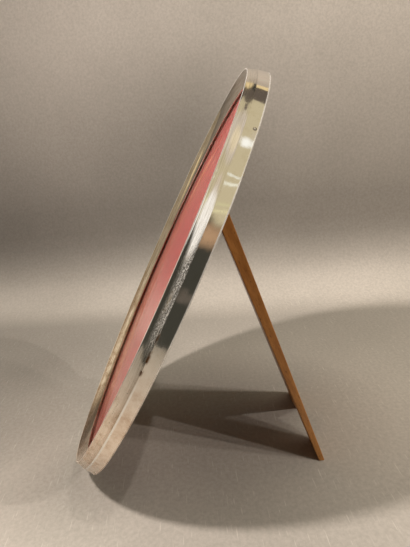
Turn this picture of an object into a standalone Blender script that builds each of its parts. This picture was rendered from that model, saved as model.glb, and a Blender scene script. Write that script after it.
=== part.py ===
import math

import bmesh
import bpy
from mathutils import Matrix, Vector
from mathutils.geometry import tessellate_polygon

for thing in list(bpy.data.objects):
    bpy.data.objects.remove(thing, do_unlink=True)

MM = 0.001
CLEARANCE = 0.3 * MM

# Oval outline of the frame and the angle it leans back from upright
oval_half_width = 112.5 * MM
oval_half_height = 150.0 * MM
oval_steps = 96
lean = math.radians(29.5)

# Silver moulding: inset is measured inwards from the outline, depth back from the ridge
rim_depth = 13.7 * MM
sheet_thickness = 0.9 * MM
ridge_inset = 4.15 * MM
ridge_bead_radius = 0.7 * MM
crease_inset = 1.45 * MM
crease_depth = 6.05 * MM
sight_inset = 12.3 * MM
lip_foot_depth = 6.2 * MM
lip_step = 0.7 * MM
lip_hollow = 0.35 * MM

# Layers held in the wooden ring, front to back
glass_thickness = 1.5 * MM
insert_thickness = 0.4 * MM
backing_thickness = 0.8 * MM
board_thickness = 2.7 * MM
glass_rebate_inset = 8.7 * MM
board_rebate_inset = 6.7 * MM
board_edge_chamfer = 0.6 * MM

# Pins that hold the silver to the wood, by angle round the oval from its right-hand end
pin_angles = {
    "upper_right": math.radians(47.5),
    "top": math.radians(90),
    "upper_left": math.radians(132.5),
    "lower_left": math.radians(233),
    "bottom": math.radians(270),
    "lower_right": math.radians(307),
}
pin_depth = 11.5 * MM
pin_head_radius = 0.65 * MM
pin_head_length = 0.8 * MM
pin_dome = 0.3 * MM
pin_shank_radius = 0.4 * MM
pin_reach = 4.4 * MM
pin_point = 0.8 * MM

# Butt hinge of the strut
hinge_axis_height = 59.8 * MM
hinge_width = 26.0 * MM
hinge_knuckles = 5
knuckle_radius = 2.0 * MM
hinge_pin_radius = 0.9 * MM
hinge_pin_head_radius = 1.5 * MM
hinge_pin_head_thickness = 0.8 * MM
leaf_thickness = 1.0 * MM
leaf_length = 16.0 * MM
leaf_screw_places = {
    "left": (-8.5 * MM, 7.0 * MM),
    "middle": (0.0, 11.5 * MM),
    "right": (8.5 * MM, 7.0 * MM),
}

# Wooden strut
strut_opening = math.radians(47.5)
strut_top_thickness = 9.1 * MM
strut_foot_thickness = 3.8 * MM
strut_top_half_width = 18.0 * MM
strut_foot_half_width = 46.8 * MM
strut_head = 11.0 * MM
strut_head_rebate = 1.2 * MM
strut_arris = 0.6 * MM
notch_half_width = 21.0 * MM
notch_height = 33.0 * MM

# Screws
shank_radius = 0.9 * MM
countersunk_head_radius = 2.0 * MM
leaf_screw_in_board = 2.0 * MM
leaf_screw_in_strut = 6.0 * MM
screw_point = 0.9 * MM
screw_slot_width = 0.5 * MM
screw_slot_depth = 0.4 * MM
screw_slot_reach = 3.0 * MM
button_screw_in_ring = 5.4 * MM

# Turn buttons that hold the back board
button_angles = {
    "upper_right": math.radians(36),
    "upper_left": math.radians(144),
    "lower_left": math.radians(216),
    "lower_right": math.radians(324),
}
button_pivot_inset = 4.7 * MM
button_round_radius = 3.0 * MM
button_tip_radius = 1.8 * MM
button_reach = 12.0 * MM
button_thickness = 1.1 * MM

# Depths of the layers and other sizes that follow from the ones above; overrun is how far a
# cutting shape passes the face that it starts from
glass_front = lip_foot_depth + CLEARANCE
glass_back = glass_front + glass_thickness
insert_front = glass_back + CLEARANCE
insert_back = insert_front + insert_thickness
backing_front = insert_back + CLEARANCE
backing_back = backing_front + backing_thickness
board_front = backing_back + CLEARANCE
board_back = board_front + board_thickness
glass_inset = glass_rebate_inset + CLEARANCE
board_inset = board_rebate_inset + CLEARANCE
hinge_axis_depth = board_back + CLEARANCE + knuckle_radius
hole_radius = shank_radius + CLEARANCE
cone_clearance = 1.4 * CLEARANCE
overrun = 1.0 * MM
strut_from_upright = strut_opening - lean


# Materials
def make_material(name, colour, roughness, metallic=0.0):
    material = bpy.data.materials.new(name)
    material.use_nodes = True
    surface = material.node_tree.nodes["Principled BSDF"]
    surface.inputs["Base Color"].default_value = (*colour, 1.0)
    surface.inputs["Roughness"].default_value = roughness
    surface.inputs["Metallic"].default_value = metallic
    material.diffuse_color = (*colour, 1.0)
    return material


silver = make_material("polished_silver", (0.80, 0.76, 0.69), 0.22, 1.0)
pin_silver = make_material("pin_silver", (0.62, 0.57, 0.48), 0.35, 1.0)
mahogany = make_material("strut_mahogany", (0.19, 0.065, 0.018), 0.42)
board_mahogany = make_material("board_mahogany", (0.15, 0.048, 0.016), 0.5)
ring_wood = make_material("ring_wood", (0.25, 0.13, 0.055), 0.65)
brass = make_material("hinge_brass", (0.66, 0.45, 0.17), 0.33, 1.0)
pin_brass = make_material("hinge_pin_brass", (0.60, 0.42, 0.17), 0.28, 1.0)
button_brass = make_material("button_brass", (0.70, 0.49, 0.20), 0.3, 1.0)
screw_brass = make_material("screw_brass", (0.58, 0.39, 0.15), 0.38, 1.0)
rose_card = make_material("rose_card", (0.51, 0.135, 0.098), 0.6)
grey_card = make_material("grey_card", (0.36, 0.30, 0.23), 0.9)
pane = make_material("clear_pane", (0.96, 0.98, 0.97), 0.03)
pane.node_tree.nodes["Principled BSDF"].inputs["Transmission Weight"].default_value = 1.0


# Points on the oval
def step_angle(step):
    return (step + 0.5) * math.tau / oval_steps


def outward(angle):
    """Direction square to the outline, pointing out of the oval."""
    direction = Vector((oval_half_height * math.cos(angle), oval_half_width * math.sin(angle), 0.0))
    return direction.normalized()


def on_oval(angle, inset, depth):
    """Point at an inset from the outline and a depth behind the ridge."""
    rim = Vector((oval_half_width * math.cos(angle), oval_half_height * math.sin(angle), -depth))
    return rim - outward(angle) * inset


# Bodies
def make_body(name, points, faces, material, place, smooth_below=None):
    mesh = bpy.data.meshes.new(name)
    mesh.from_pydata([tuple(point) for point in points], [], faces)
    shape = bmesh.new()
    shape.from_mesh(mesh)
    bmesh.ops.recalc_face_normals(shape, faces=shape.faces[:])
    shape.to_mesh(mesh)
    shape.free()
    if material:
        mesh.materials.append(material)
    if smooth_below:
        mesh.shade_smooth()
        mesh.set_sharp_from_angle(angle=math.radians(smooth_below))
    thing = bpy.data.objects.new(name, mesh)
    bpy.context.scene.collection.objects.link(thing)
    thing.matrix_world = place
    return thing


def swept_ring(name, section, material):
    """Closed ring: the section of inset and depth pairs carried once round the oval."""
    count = len(section)
    points = [on_oval(step_angle(step), *corner) for step in range(oval_steps) for corner in section]
    faces = []
    for step in range(oval_steps):
        here = step * count
        ahead = (step + 1) % oval_steps * count
        for corner in range(count):
            beside = (corner + 1) % count
            faces.append((here + corner, ahead + corner, ahead + beside, here + beside))
    return make_body(name, points, faces, material, frame_place, 24)


def oval_plate(name, inset, front, back, chamfer, material):
    """Flat oval plate, the edge of its back broken by a chamfer."""
    loops = [(inset, front), (inset, back - chamfer), (inset + chamfer, back)]
    points = [on_oval(step_angle(step), *loop) for loop in loops for step in range(oval_steps)]
    faces = [tuple(range(oval_steps)), tuple(range(2 * oval_steps, 3 * oval_steps))]
    for level in range(2):
        low = level * oval_steps
        for step in range(oval_steps):
            ahead = (step + 1) % oval_steps
            faces.append((low + step, low + ahead, low + oval_steps + ahead, low + oval_steps + step))
    return make_body(name, points, faces, material, frame_place, 24)


def join_loops(name, near_loops, far_loops, material, place, smooth_below=None):
    """Body between two sets of matching loops; the first loop is the outline, the rest are holes."""
    near = [point for loop in near_loops for point in loop]
    far = [point for loop in far_loops for point in loop]
    total = len(near)
    faces = []
    start = 0
    for loop in near_loops:
        size = len(loop)
        for index in range(size):
            here = start + index
            ahead = start + (index + 1) % size
            faces.append((here, ahead, total + ahead, total + here))
        start += size
    if len(near_loops) == 1:
        faces.append(tuple(range(total)))
        faces.append(tuple(range(total, 2 * total)))
    else:
        for triangle in tessellate_polygon(near_loops):
            faces.append(tuple(triangle))
            faces.append(tuple(total + corner for corner in triangle))
    return make_body(name, near + far, faces, material, place, smooth_below)


def turned_group(name, profile, seats, sides, material, place):
    """Turned bodies: a profile of radius and height pairs spun about each seat's own axis."""
    points = []
    faces = []
    for seat in seats:
        rings = []
        for radius, height in profile:
            if radius == 0.0:
                rings.append([len(points)])
                points.append(seat @ Vector((0.0, 0.0, height)))
                continue
            rings.append(list(range(len(points), len(points) + sides)))
            for side in range(sides):
                turn = math.tau * side / sides
                points.append(seat @ Vector((radius * math.cos(turn), radius * math.sin(turn), height)))
        for low, high in zip(rings, rings[1:]):
            for side in range(sides):
                ahead = (side + 1) % sides
                if len(low) == 1:
                    faces.append((low[0], high[side], high[ahead]))
                elif len(high) == 1:
                    faces.append((low[side], low[ahead], high[0]))
                else:
                    faces.append((low[side], low[ahead], high[ahead], high[side]))
    return make_body(name, points, faces, material, place, 35)


def turned_copies(name, labels, profile, seats, sides, material, place):
    """The same turned piece on each seat, as an object of its own with its origin at the seat."""
    return [
        turned_group(f"{name}_{label}", profile, [Matrix.Identity(4)], sides, material, place @ seat)
        for label, seat in zip(labels, seats)
    ]


def block_group(name, blocks, place):
    """Separate blocks, each given by its seat and its half sizes."""
    signs = [(a, b, c) for a in (-1, 1) for b in (-1, 1) for c in (-1, 1)]
    sides = [(0, 1, 3, 2), (4, 5, 7, 6), (0, 1, 5, 4), (2, 3, 7, 6), (0, 2, 6, 4), (1, 3, 7, 5)]
    points = []
    faces = []
    for seat, half in blocks:
        start = len(points)
        for sign in signs:
            points.append(seat @ Vector([s * h for s, h in zip(sign, half)]))
        faces += [tuple(start + corner for corner in side) for side in sides]
    return make_body(name, points, faces, None, place)


def carve(target, cutter):
    """Takes the cutter's shape out of the target."""
    cut = target.modifiers.new("cut_" + cutter.name, "BOOLEAN")
    cut.operation = "DIFFERENCE"
    cut.solver = "EXACT"
    cut.object = cutter
    cutter.hide_render = True
    cutter.display_type = "WIRE"


def arc(centre, radius, start, end, steps):
    """Points along an arc, both ends included."""
    angles = [start + (end - start) * index / steps for index in range(steps + 1)]
    return [(centre[0] + radius * math.cos(a), centre[1] + radius * math.sin(a)) for a in angles]


# Section of the silver moulding
def tangent_angle(point, centre, radius, side):
    """Angle on the circle where a line from the point just touches it."""
    across = math.atan2(point[1] - centre[1], point[0] - centre[0])
    distance = math.hypot(point[0] - centre[0], point[1] - centre[1])
    return across + side * math.acos(radius / distance)


def meeting_point(first, first_end, second, second_end):
    """Where two straight lines cross."""
    ax, ay = first_end[0] - first[0], first_end[1] - first[1]
    bx, by = second_end[0] - second[0], second_end[1] - second[1]
    cx, cy = second[0] - first[0], second[1] - first[1]
    share = (cx * by - cy * bx) / (ax * by - ay * bx)
    return first[0] + share * ax, first[1] + share * ay


def beside_chain(chain, distance):
    """The chain moved sideways by a distance, its corners mitred."""
    moved = []
    for index, point in enumerate(chain):
        normals = []
        for start in (index - 1, index):
            if 0 <= start < len(chain) - 1:
                dx = chain[start + 1][0] - chain[start][0]
                dy = chain[start + 1][1] - chain[start][1]
                length = math.hypot(dx, dy)
                normals.append((-dy / length, dx / length))
        nx = sum(normal[0] for normal in normals) / len(normals)
        ny = sum(normal[1] for normal in normals) / len(normals)
        stretch = distance / (nx * nx + ny * ny)
        moved.append((point[0] + nx * stretch, point[1] + ny * stretch))
    return moved


bead_centre = (ridge_inset, ridge_bead_radius)
crease = (crease_inset, crease_depth)
back_edge = (0.0, rim_depth)
lip_top = (sight_inset, lip_foot_depth - lip_step)
lip_touch = tangent_angle(lip_top, bead_centre, ridge_bead_radius, -1)
bevel_touch = tangent_angle(crease, bead_centre, ridge_bead_radius, 1) - math.tau
bead = arc(bead_centre, ridge_bead_radius, lip_touch, bevel_touch, 4)
ridge_apex = meeting_point(lip_top, bead[0], crease, bead[-1])


def hollow_line(start, end, sag, steps):
    """Line between two points that sags towards the back by a shallow curve."""
    dx, dy = end[0] - start[0], end[1] - start[1]
    length = math.hypot(dx, dy)
    line = []
    for index in range(steps + 1):
        share = index / steps
        dip = 4.0 * sag * share * (1.0 - share)
        line.append((start[0] + share * dx + dip * dy / length, start[1] + share * dy - dip * dx / length))
    return line


# The centre line of the back edge's rounding, and the chains of the show side and the hidden side
wall_length = math.hypot(back_edge[0] - crease[0], back_edge[1] - crease[1])
wall_run = ((back_edge[0] - crease[0]) / wall_length, (back_edge[1] - crease[1]) / wall_length)
edge_radius = sheet_thickness / 2
edge_centre = (
    back_edge[0] - wall_run[0] * edge_radius + wall_run[1] * edge_radius,
    back_edge[1] - wall_run[1] * edge_radius - wall_run[0] * edge_radius,
)
edge_start = math.atan2(wall_run[0], -wall_run[1])
rolled_edge = arc(edge_centre, edge_radius, edge_start, edge_start - math.pi, 5)
lip_line = hollow_line(lip_top, bead[0], lip_hollow, 5)
sharp_chain = lip_line[:-1] + [ridge_apex, crease, back_edge]
hidden_chain = beside_chain(sharp_chain, -sheet_thickness)
hidden_foot = (hidden_chain[0][0], lip_foot_depth)
moulding_section = (
    [(sight_inset, lip_foot_depth)]
    + lip_line[:-1]
    + bead
    + [crease]
    + rolled_edge
    + hidden_chain[-2:0:-1]
    + [hidden_foot]
)

# Section of the wooden ring, which fills the moulding from behind with a clearance
wood_chain = beside_chain(sharp_chain, -(sheet_thickness + CLEARANCE))
wood_front = [point for point in wood_chain[:-1] if point[0] < glass_rebate_inset]
next_point = wood_chain[wood_chain.index(wood_front[0]) - 1]
wood_start = meeting_point(next_point, wood_front[0], (glass_rebate_inset, 0.0), (glass_rebate_inset, 1.0))
wood_end = meeting_point(wood_chain[-2], wood_chain[-1], (0.0, board_back), (1.0, board_back))
ring_section = [
    (glass_rebate_inset, board_front - CLEARANCE),
    wood_start,
    *wood_front,
    wood_end,
    (board_rebate_inset, board_back),
    (board_rebate_inset, board_front - CLEARANCE),
]

# Standing place: the rim's lowest corner and the strut's feet are on the floor, and the middle of
# the depth between the ridge's foremost point and the strut's heel is at the origin
lowest = []
foremost = []
for inset, depth in moulding_section:
    corner = on_oval(step_angle(oval_steps * 3 // 4), inset, depth)
    lowest.append(corner.y * math.cos(lean) - depth * math.sin(lean))
    foremost.append(corner.y * math.sin(lean) + depth * math.cos(lean))
centre_height = -min(lowest)
axis_height = centre_height + hinge_axis_height * math.cos(lean) - hinge_axis_depth * math.sin(lean)
axis_back = hinge_axis_height * math.sin(lean) + hinge_axis_depth * math.cos(lean)
strut_reach = axis_height / math.cos(strut_from_upright)
strut_taper = (strut_top_thickness - strut_foot_thickness) / strut_reach
heel_thickness = strut_foot_thickness / (1.0 + strut_taper * math.tan(strut_from_upright))
heel_reach = strut_reach + heel_thickness * math.tan(strut_from_upright)
heel_back = heel_reach * math.sin(strut_from_upright) + heel_thickness * math.cos(strut_from_upright)
centre_back = -(min(foremost) + axis_back + heel_back) / 2
frame_place = Matrix.Translation((0.0, centre_back, centre_height)) @ Matrix.Rotation(math.pi / 2 - lean, 4, "X")
axis_place = (0.0, centre_back + axis_back, axis_height)
strut_place = Matrix.Translation(axis_place) @ Matrix.Rotation(math.pi / 2 + strut_from_upright, 4, "X")

# Silver moulding and wooden ring, with the holes for the pins and the button screws
silver_rim = swept_ring("silver_rim", moulding_section, silver)
wood_ring = swept_ring("wood_ring", ring_section, ring_wood)


def pin_seat(angle):
    """Seat on the side wall: height is measured inwards from the wall."""
    wall_inset = crease_inset * (rim_depth - pin_depth) / (rim_depth - crease_depth)
    inwards = -outward(angle)
    across = Vector((0.0, 0.0, 1.0)).cross(inwards)
    turn = Matrix((across, inwards.cross(across), inwards)).transposed().to_4x4()
    return Matrix.Translation(on_oval(angle, wall_inset, pin_depth)) @ turn


pin_places = list(pin_angles)
pin_seats = [pin_seat(angle) for angle in pin_angles.values()]
pin_profile = [
    (0.0, -pin_dome),
    (pin_head_radius * 0.62, -pin_dome * 0.6),
    (pin_head_radius, pin_dome / 3),
    (pin_head_radius, pin_head_length),
    (pin_shank_radius, pin_head_length),
    (pin_shank_radius, pin_reach - pin_point),
    (0.0, pin_reach),
]
rim_pins = turned_copies(
    "rim_pin", pin_places, pin_profile, pin_seats, 12, pin_silver, frame_place
)


def straight_hole(radius, start, end):
    return [(0.0, start), (radius, start), (radius, end), (0.0, end)]


pin_head_holes = turned_group(
    "pin_head_holes",
    straight_hole(pin_head_radius + CLEARANCE, -overrun, sheet_thickness + CLEARANCE),
    pin_seats, 12, None, frame_place,
)
pin_shank_holes = turned_group(
    "pin_shank_holes",
    straight_hole(pin_shank_radius + CLEARANCE, 0.0, pin_reach + CLEARANCE),
    pin_seats, 12, None, frame_place,
)
carve(silver_rim, pin_head_holes)
carve(wood_ring, pin_shank_holes)

# Glass, insert, backing and back board
glass = oval_plate("glass", glass_inset, glass_front, glass_back, 0.2 * MM, pane)
insert_card = oval_plate("insert_card", glass_inset, insert_front, insert_back, 0.1 * MM, rose_card)
backing_card = oval_plate("backing_card", glass_inset, backing_front, backing_back, 0.2 * MM, grey_card)
back_board = oval_plate("back_board", board_inset, board_front, board_back, board_edge_chamfer, board_mahogany)

# Hinge leaves
knuckle_hole = hinge_pin_radius + CLEARANCE
knuckle_width = hinge_width / hinge_knuckles


def leaf_section(low, high):
    """Plate between two levels beside the pin, with the knuckle rolled at its upper end."""
    start = math.asin(high / knuckle_radius)
    end = math.asin(low / knuckle_radius) + math.tau
    outline = [(leaf_length, low), (leaf_length, high)]
    outline += arc((0.0, 0.0), knuckle_radius, start, end, 20)
    bore = arc((0.0, 0.0), knuckle_hole, 0.0, -math.tau, 20)[:-1]
    return outline, bore


def make_leaf(name, low, high, place, own_knuckles):
    loops = leaf_section(low, high)
    half = hinge_width / 2
    near = [[Vector((-half, -run, -level)) for run, level in loop] for loop in loops]
    far = [[Vector((half, -run, -level)) for run, level in loop] for loop in loops]
    leaf = join_loops(name, near, far, brass, place, 30)
    blocks = []
    reach = knuckle_radius + CLEARANCE
    for knuckle in range(hinge_knuckles):
        if knuckle not in own_knuckles:
            middle = -half + (knuckle + 0.5) * knuckle_width
            seat = Matrix.Translation((middle, overrun / 2, 0.0))
            half_width = knuckle_width / 2 + CLEARANCE / 2
            blocks.append((seat, (half_width, reach + overrun / 2, reach + overrun / 2)))
    gaps = block_group(name + "_knuckle_gaps", blocks, place)
    carve(leaf, gaps)
    return leaf


board_axis_place = frame_place @ Matrix.Translation((0.0, hinge_axis_height, -hinge_axis_depth))
hinge_leaf_board = make_leaf(
    "hinge_leaf_board", -knuckle_radius, leaf_thickness - knuckle_radius, board_axis_place, (0, 2, 4)
)
hinge_leaf_strut = make_leaf("hinge_leaf_strut", 0.0, leaf_thickness, strut_place, (1, 3))

# Hinge pin with a round head at each end
head_inner = hinge_width / 2 + CLEARANCE
head_outer = head_inner + hinge_pin_head_thickness
pin_half_profile = [
    (0.0, -head_outer),
    (hinge_pin_head_radius * 0.75, -head_outer),
    (hinge_pin_head_radius, -head_outer + 0.35 * MM),
    (hinge_pin_head_radius, -head_inner),
    (hinge_pin_radius, -head_inner),
]
mirrored_half = [(radius, -height) for radius, height in reversed(pin_half_profile)]
along_hinge = Matrix.Rotation(math.pi / 2, 4, "Y")
hinge_pin = turned_group(
    "hinge_pin", pin_half_profile + mirrored_half, [along_hinge], 20, pin_brass, board_axis_place
)


# Countersunk screws of the hinge leaves
def countersunk_profile(plate_thickness, length):
    """Height is measured into the wood from the seat under the plate, and the head is flush with it."""
    face = -(plate_thickness + CLEARANCE)
    return [
        (0.0, face),
        (countersunk_head_radius, face),
        (shank_radius, face + countersunk_head_radius - shank_radius),
        (shank_radius, length - screw_point),
        (0.0, length),
    ]


def countersunk_hole():
    face = -(leaf_thickness + CLEARANCE)
    wide = countersunk_head_radius + cone_clearance
    return [
        (0.0, face - overrun),
        (wide, face - overrun),
        (wide, face),
        (hole_radius, face + wide - hole_radius),
        (hole_radius, overrun),
        (0.0, overrun),
    ]


def slot_blocks(seats, face):
    """Narrow blocks lying across the heads, each turned its own way."""
    blocks = []
    for number, seat in enumerate(seats):
        turn = Matrix.Rotation(math.radians(20 + 65 * number), 4, "Z")
        middle = Matrix.Translation((0.0, 0.0, face))
        blocks.append((seat @ middle @ turn, (screw_slot_reach, screw_slot_width / 2, screw_slot_depth)))
    return blocks


board_seats = [
    Matrix.Translation((across, hinge_axis_height - down, -board_back))
    for across, down in leaf_screw_places.values()
]
recess_depth = leaf_thickness + CLEARANCE
strut_seats = [
    Matrix.Translation((across, -down, -recess_depth)) @ Matrix.Rotation(math.pi, 4, "X")
    for across, down in leaf_screw_places.values()
]
screw_face = -recess_depth

board_screws = turned_copies(
    "board_hinge_screw", leaf_screw_places,
    countersunk_profile(leaf_thickness, leaf_screw_in_board),
    board_seats, 16, screw_brass, frame_place,
)
board_slots = block_group("board_screw_slots", slot_blocks(board_seats, screw_face), frame_place)
for screw in board_screws:
    carve(screw, board_slots)
board_leaf_holes = turned_group("board_leaf_holes", countersunk_hole(), board_seats, 16, None, frame_place)
carve(hinge_leaf_board, board_leaf_holes)
board_holes = turned_group(
    "board_holes",
    straight_hole(hole_radius, -overrun, leaf_screw_in_board + CLEARANCE),
    board_seats, 16, None, frame_place,
)
carve(back_board, board_holes)

strut_screws = turned_copies(
    "strut_hinge_screw", leaf_screw_places,
    countersunk_profile(leaf_thickness, leaf_screw_in_strut),
    strut_seats, 16, screw_brass, strut_place,
)
strut_slots = block_group("strut_screw_slots", slot_blocks(strut_seats, screw_face), strut_place)
for screw in strut_screws:
    carve(screw, strut_slots)
strut_leaf_holes = turned_group("strut_leaf_holes", countersunk_hole(), strut_seats, 16, None, strut_place)
carve(hinge_leaf_strut, strut_leaf_holes)


# Strut: run is measured down the front face from the hinge axis, level back from the front face
def half_width_at(run):
    return strut_top_half_width + (strut_foot_half_width - strut_top_half_width) * run / strut_reach


def notch_half_width_at(run):
    return notch_half_width * (run - strut_reach + notch_height) / notch_height


def strut_outline(foot, level_at):
    """Corners of one face: the head, one foot, the notch and the other foot."""
    apex = strut_reach - notch_height
    corners = [
        (half_width_at(-strut_head), -strut_head),
        (half_width_at(foot), foot),
        (notch_half_width_at(foot), foot),
        (0.0, apex),
        (-notch_half_width_at(foot), foot),
        (-half_width_at(foot), foot),
        (-half_width_at(-strut_head), -strut_head),
    ]
    return [Vector((across, -run, -level_at(run))) for across, run in corners]


strut = join_loops(
    "strut",
    [strut_outline(strut_reach, lambda run: 0.0)],
    [strut_outline(heel_reach, lambda run: strut_top_thickness - strut_taper * run)],
    mahogany, strut_place,
)
rounding = strut.modifiers.new("rounded_arrises", "BEVEL")
rounding.width = strut_arris
rounding.segments = 2
rounding.limit_method = "ANGLE"
rounding.angle_limit = math.radians(25)

# Head of the strut: a groove for the knuckles and a bevel that rests against the board when open
groove_radius = knuckle_radius + CLEARANCE
stop_rise = math.tan(strut_opening)
stop_drop = knuckle_radius / math.cos(strut_opening)


def stop_run(level):
    """Run at which the bevel reaches a level; the bevel is parallel to the board when open."""
    return -(level + stop_drop) / stop_rise


groove_end = math.pi - math.asin(strut_head_rebate / groove_radius)
cut_front = -2.0 * overrun
cut_back = strut_top_thickness + 2.0 * overrun
head_cut = [(groove_radius, cut_front)]
head_cut += arc((0.0, 0.0), groove_radius, 0.0, groove_end, 12)
head_cut += [
    (stop_run(strut_head_rebate), strut_head_rebate),
    (stop_run(cut_back), cut_back),
    (stop_run(cut_back), cut_front),
]
cut_half_width = strut_top_half_width + 2.0 * overrun
head_cutter = join_loops(
    "strut_head_cut",
    [[Vector((-cut_half_width, -run, -level)) for run, level in head_cut]],
    [[Vector((cut_half_width, -run, -level)) for run, level in head_cut]],
    None, strut_place,
)
carve(strut, head_cutter)
recess_half = (leaf_length + CLEARANCE) / 2
leaf_recess = block_group(
    "strut_leaf_recess",
    [(Matrix.Translation((0.0, -recess_half, 0.0)), (hinge_width / 2 + CLEARANCE, recess_half, recess_depth))],
    strut_place,
)
carve(strut, leaf_recess)
strut_holes = turned_group(
    "strut_holes",
    straight_hole(hole_radius, -overrun, leaf_screw_in_strut + CLEARANCE),
    strut_seats, 16, None, strut_place,
)
carve(strut, strut_holes)


# Turn buttons: a round end on the pivot and a tapered wing that laps over the back board
def button_outline():
    """Outline of the wing along +Y, round end first, with extra points along both straight sides."""
    slope = math.asin((button_round_radius - button_tip_radius) / button_reach)
    round_end = arc((0.0, 0.0), button_round_radius, math.pi - slope, math.tau + slope, 16)
    tip = arc((0.0, button_reach), button_tip_radius, slope, math.pi - slope, 8)
    outline = list(round_end)
    for start, end, following in ((round_end[-1], tip[0], tip), (tip[-1], round_end[0], [])):
        for share in (0.2, 0.45, 0.75):
            outline.append((start[0] + share * (end[0] - start[0]), start[1] + share * (end[1] - start[1])))
        outline += following
    return outline


button_front = board_back + CLEARANCE
button_back = button_front + button_thickness
narrow_bore = shank_radius + cone_clearance
wide_bore = countersunk_head_radius + cone_clearance
button_seats = []
for corner, angle in button_angles.items():
    inwards = -outward(angle)
    pivot = on_oval(angle, button_pivot_inset, board_back)
    button_seats.append(Matrix.Translation(pivot))
    facing = Matrix.Rotation(math.atan2(-inwards.x, inwards.y), 4, "Z")
    outline = button_outline()
    levels = []
    for bore_radius, level in ((narrow_bore, button_front - board_back), (wide_bore, button_back - board_back)):
        bore = [(bore_radius * x / math.hypot(x, y), bore_radius * y / math.hypot(x, y)) for x, y in outline]
        levels.append([[Vector((x, y, -level)) for x, y in loop] for loop in (outline, bore[::-1])])
    place = frame_place @ Matrix.Translation(pivot) @ facing
    join_loops("turn_button_" + corner, *levels, button_brass, place, 30)

button_screws = turned_copies(
    "turn_button_screw", button_angles,
    countersunk_profile(button_thickness, button_screw_in_ring),
    button_seats, 16, screw_brass, frame_place,
)
button_slots = block_group(
    "button_screw_slots",
    slot_blocks(button_seats, -(button_thickness + CLEARANCE)),
    frame_place,
)
for screw in button_screws:
    carve(screw, button_slots)
ring_screw_holes = turned_group(
    "ring_screw_holes",
    straight_hole(hole_radius, -overrun, button_screw_in_ring + CLEARANCE),
    button_seats, 16, None, frame_place,
)
carve(wood_ring, ring_screw_holes)
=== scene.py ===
import math

import bmesh
import bpy
import numpy as np
from mathutils import Matrix, Vector


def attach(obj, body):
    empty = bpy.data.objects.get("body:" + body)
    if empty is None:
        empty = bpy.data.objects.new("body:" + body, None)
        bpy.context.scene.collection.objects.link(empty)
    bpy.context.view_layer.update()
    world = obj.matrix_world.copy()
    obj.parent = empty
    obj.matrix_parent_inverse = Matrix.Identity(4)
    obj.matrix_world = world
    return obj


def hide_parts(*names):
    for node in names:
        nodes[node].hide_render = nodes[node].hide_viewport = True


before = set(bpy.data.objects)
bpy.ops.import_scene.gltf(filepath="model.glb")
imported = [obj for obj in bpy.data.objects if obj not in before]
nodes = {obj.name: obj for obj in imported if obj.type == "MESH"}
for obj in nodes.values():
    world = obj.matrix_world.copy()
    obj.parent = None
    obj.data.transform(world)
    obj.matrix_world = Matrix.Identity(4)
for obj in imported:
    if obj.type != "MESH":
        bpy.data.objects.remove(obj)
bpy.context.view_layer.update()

MM = 0.001

# Sizes of the frame, as the CAD model has them; inset goes inwards from the outline, depth back from the ridge
half_width = 112.5 * MM
half_height = 150.0 * MM
lean = math.radians(29.5)
middle = Vector((0.0, -16.857 * MM, 137.044 * MM))
rim_depth = 13.7 * MM
sheet = 0.9 * MM
ridge_inset = 4.15 * MM
bead_radius = 0.7 * MM
crease = (1.45 * MM, 6.05 * MM)
sight_inset = 12.3 * MM
lip_foot = 6.2 * MM
lip_step = 0.7 * MM
glass_front, glass_back = 6.5 * MM, 8.0 * MM
pane_inset = 9.0 * MM
strut_from_upright = math.radians(18.0)

# The insert's front lies nearer the glass than in the CAD model, and the silver stays this far inside the outline
insert_front, insert_back = 8.05 * MM, 8.7 * MM
outline_trim = 0.10 * MM

# Slight bulges of the silver, its edge at the foot of the lip, and roundings and sharp angles
bevel_bulge = 0.22 * MM
wall_bulge = 0.06 * MM
lip_bulge = 0.38 * MM
lip_foot_edge = 0.35 * MM
crease_support = 0.18 * MM
glass_rounding = 0.2 * MM
insert_rounding = 0.1 * MM
silver_sharp_angle = math.radians(14)
sheet_sharp_angle = math.radians(40)

# Heights above the floor, in metres, between which the look of the silver changes
foot_haze_ends = (0.080, 0.130)
rubbed_and_painted_reflection_starts, rubbed_and_painted_reflection_ends = (0.122, 0.136), (0.160, 0.192)
tarnish_starts, tarnish_ends = (0.108, 0.116), (0.134, 0.143)
crease_painted_highlight_ends = (0.102, 0.114)
bevel_painted_shade_ends = (0.104, 0.124)

frame_turn = Matrix.Translation(middle) @ Matrix.Rotation(math.pi / 2 - lean, 4, "X")
frame_matrix = np.array(frame_turn)


# Meshes, most of them from whole arrays
def link(name, data):
    """Object of a mesh, a lamp or a camera, put in the scene."""
    thing = bpy.data.objects.new(name, data)
    bpy.context.scene.collection.objects.link(thing)
    return thing


def grid_quads(rows, columns, ahead, beside, wide):
    """Four-cornered faces of a grid of points with a known number in each row: from a point to the one beside
    it, then to the same two in the row ahead."""
    return np.stack((rows * wide + columns, rows * wide + beside, ahead * wide + beside, ahead * wide + columns),
                    -1).reshape(-1, 4)


def make_mesh(name, points, quads, uv=None):
    """Object from an array of points and an array of four-cornered faces, with a UV pair for every corner."""
    mesh = bpy.data.meshes.new(name)
    points = np.asarray(points, np.float32)
    quads = np.asarray(quads, np.int32)
    mesh.vertices.add(len(points))
    mesh.vertices.foreach_set("co", points.ravel())
    mesh.loops.add(quads.size)
    mesh.loops.foreach_set("vertex_index", quads.ravel())
    mesh.polygons.add(len(quads))
    mesh.polygons.foreach_set("loop_start", np.arange(0, quads.size, quads.shape[1], dtype=np.int32))
    mesh.update(calc_edges=True)
    mesh.validate()
    if uv is not None:
        layer = mesh.uv_layers.new(name="run")
        layer.data.foreach_set("uv", np.asarray(uv, np.float32).ravel())
    mesh.shade_smooth()
    return link(name, mesh)


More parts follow.
